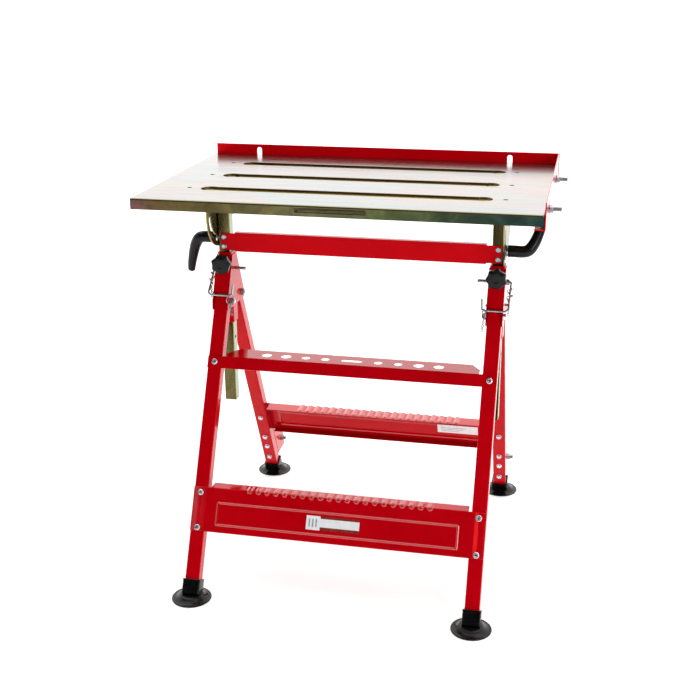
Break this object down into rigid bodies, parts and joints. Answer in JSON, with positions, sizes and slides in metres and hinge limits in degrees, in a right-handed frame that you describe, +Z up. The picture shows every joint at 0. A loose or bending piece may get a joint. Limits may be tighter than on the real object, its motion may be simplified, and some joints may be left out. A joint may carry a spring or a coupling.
{
  "type": "folding welding table",
  "caption": "Folding welding table with a slotted plated steel top, guide rails, height and tilt adjustment, red leg frames, step panels, feet and transport wheels.",
  "frame": {"origin": "on the floor, under the middle of the whole table's box", "axes": "+X to the right seen from the front, +Y to the back, +Z up"},
  "size_m": [0.787, 0.7012, 0.829],
  "materials": {
    "yellow_zinc": "yellow chromate over zinc plating, nearly mirror bright",
    "red_paint": "glossy powder coat",
    "bright_zinc": "bright zinc plating",
    "black_plastic": "satin moulded",
    "foot_rubber": "smooth moulded",
    "wheel_plastic": "moulded",
    "label_vinyl": "printed film"
  },
  "bodies": {
    "head": {"left_sleeve": "red_paint", "right_sleeve": "red_paint", "left_inner_gusset": "red_paint", "left_outer_gusset": "red_paint", "right_inner_gusset": "red_paint", "right_outer_gusset": "red_paint", "left_head_plate": "red_paint", "right_head_plate": "red_paint", "knob_weld_nuts": "bright_zinc", "leg_pivot_bolts": "bright_zinc", "leg_pivot_nuts": "bright_zinc"},
    "front_frame": {"left_front_leg": "red_paint", "right_front_leg": "red_paint", "tool_rail": "red_paint", "front_step_panel": "red_paint", "left_front_foot": "foot_rubber", "right_front_foot": "foot_rubber", "front_frame_screws": "bright_zinc", "front_label": "label_vinyl"},
    "rear_frame": {"left_rear_leg": "red_paint", "right_rear_leg": "red_paint", "rear_step_panel": "red_paint", "left_wheel_bracket": "red_paint", "right_wheel_bracket": "red_paint", "wheel_axles": "bright_zinc", "left_rear_foot": "foot_rubber", "right_rear_foot": "foot_rubber", "rear_frame_screws": "bright_zinc", "rear_label": "label_vinyl"},
    "left_wheel_body": {"left_wheel": "wheel_plastic"},
    "right_wheel_body": {"right_wheel": "wheel_plastic"},
    "post_frame": {"left_post": "yellow_zinc", "right_post": "yellow_zinc", "cross_rail": "red_paint", "cross_rail_screws": "bright_zinc", "tilt_pivot_bolts": "bright_zinc", "tilt_pivot_nuts": "bright_zinc", "clamp_studs": "bright_zinc", "clamp_washers": "bright_zinc"},
    "table": {"tabletop": "yellow_zinc", "left_tilt_bracket": "yellow_zinc", "right_tilt_bracket": "yellow_zinc", "guide_rail_bolts": "bright_zinc", "guide_rail_nuts": "bright_zinc"},
    "rear_rail": {"rear_guide_rail": "red_paint"},
    "right_rail": {"right_guide_rail": "red_paint"},
    "left_lever": {"left_clamp_lever": "black_plastic"},
    "right_lever": {"right_clamp_lever": "black_plastic"},
    "left_knob": {"left_star_knob": "black_plastic", "left_knob_screw": "bright_zinc"},
    "right_knob": {"right_star_knob": "black_plastic", "right_knob_screw": "bright_zinc"},
    "left_pin": {"left_lock_pin": "bright_zinc"},
    "right_pin": {"right_lock_pin": "bright_zinc"},
    "left_bail": {"left_pin_bail": "bright_zinc", "left_pin_chain": "bright_zinc"},
    "right_bail": {"right_pin_bail": "bright_zinc", "right_pin_chain": "bright_zinc"}
  },
  "joints": [
    {"name": "front_legs_fold", "type": "hinge", "parent": "head", "child": "front_frame", "pos_m": [-0.0125, -0.036, 0.547], "axis": [1, 0, 0], "range_deg": [0, 26.66]},
    {"name": "rear_legs_fold", "type": "hinge", "parent": "head", "child": "rear_frame", "pos_m": [-0.0125, 0.036, 0.547], "axis": [-1, 0, 0], "range_deg": [0, 26.66]},
    {"name": "height", "type": "slide", "parent": "head", "child": "post_frame", "axis": [0, 0, 1], "range_m": [0, 0.1524]},
    {"name": "tilt", "type": "hinge", "parent": "post_frame", "child": "table", "pos_m": [-0.0125, 0, 0.734], "axis": [1, 0, 0], "range_deg": [0, 80]},
    {"name": "rear_rail_height", "type": "slide", "parent": "table", "child": "rear_rail", "axis": [0, 0, 1], "range_m": [-0.022, 0]},
    {"name": "right_rail_height", "type": "slide", "parent": "table", "child": "right_rail", "axis": [0, 0, 1], "range_m": [-0.022, 0]},
    {"name": "left_clamp", "type": "hinge", "parent": "post_frame", "child": "left_lever", "pos_m": [-0.296, 0, 0.674], "axis": [1, 0, 0], "range_deg": [0, 60]},
    {"name": "right_clamp", "type": "hinge", "parent": "post_frame", "child": "right_lever", "pos_m": [0.271, 0, 0.674], "axis": [-1, 0, 0], "range_deg": [0, 60]},
    {"name": "left_knob_turn", "type": "hinge", "parent": "head", "child": "left_knob", "pos_m": [-0.296, -0.03, 0.626], "axis": [0, -1, 0], "range_deg": [0, 720]},
    {"name": "right_knob_turn", "type": "hinge", "parent": "head", "child": "right_knob", "pos_m": [0.271, -0.03, 0.626], "axis": [0, -1, 0], "range_deg": [0, 720]},
    {"name": "left_pin_pull", "type": "slide", "parent": "head", "child": "left_pin", "axis": [-1, 0, 0], "range_m": [0, 0.058]},
    {"name": "right_pin_pull", "type": "slide", "parent": "head", "child": "right_pin", "axis": [1, 0, 0], "range_m": [0, 0.058]},
    {"name": "left_bail_swing", "type": "hinge", "parent": "left_pin", "child": "left_bail", "pos_m": [-0.3155, 0, 0.61], "axis": [-1, 0, 0], "range_deg": [0, 60]},
    {"name": "right_bail_swing", "type": "hinge", "parent": "right_pin", "child": "right_bail", "pos_m": [0.2905, 0, 0.61], "axis": [-1, 0, 0], "range_deg": [0, 60]},
    {"name": "left_wheel_spin", "type": "hinge", "parent": "rear_frame", "child": "left_wheel_body", "pos_m": [-0.296, 0.32522, 0.08238], "axis": [1, 0, 0], "continuous": true},
    {"name": "right_wheel_spin", "type": "hinge", "parent": "rear_frame", "child": "right_wheel_body", "pos_m": [0.271, 0.32522, 0.08238], "axis": [1, 0, 0], "continuous": true}
  ]
}
